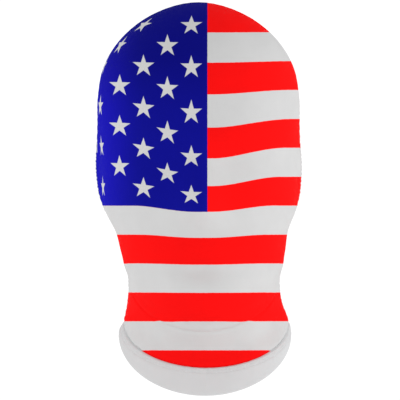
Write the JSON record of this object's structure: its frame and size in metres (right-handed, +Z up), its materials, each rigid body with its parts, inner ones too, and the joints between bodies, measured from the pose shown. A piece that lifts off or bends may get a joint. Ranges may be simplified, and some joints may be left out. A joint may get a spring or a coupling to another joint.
{
  "type": "full-face spandex mask",
  "caption": "Full-face hood mask of printed stretch cloth that covers head, face and neck, sewn from a front and a back panel with a turned neck hem.",
  "frame": {"origin": "the inside of the crown, where the hood sits on the top of a head", "axes": "+Z up, -Y the way the face looks, +X to the right of someone who faces the mask"},
  "size_m": [0.1597, 0.2121, 0.3031],
  "materials": {
    "front_cloth": "matte stretch knit, printed with red and white stripes and a blue field of white stars",
    "back_cloth": "matte stretch knit, printed with red and white stripes and a blue field of white stars",
    "hem_cloth": "matte stretch knit, unprinted white, turned and stitched"
  },
  "bodies": {
    "root": {"front_panel": "front_cloth", "back_panel": "back_cloth", "neck_hem": "hem_cloth"}
  },
  "joints": []
}
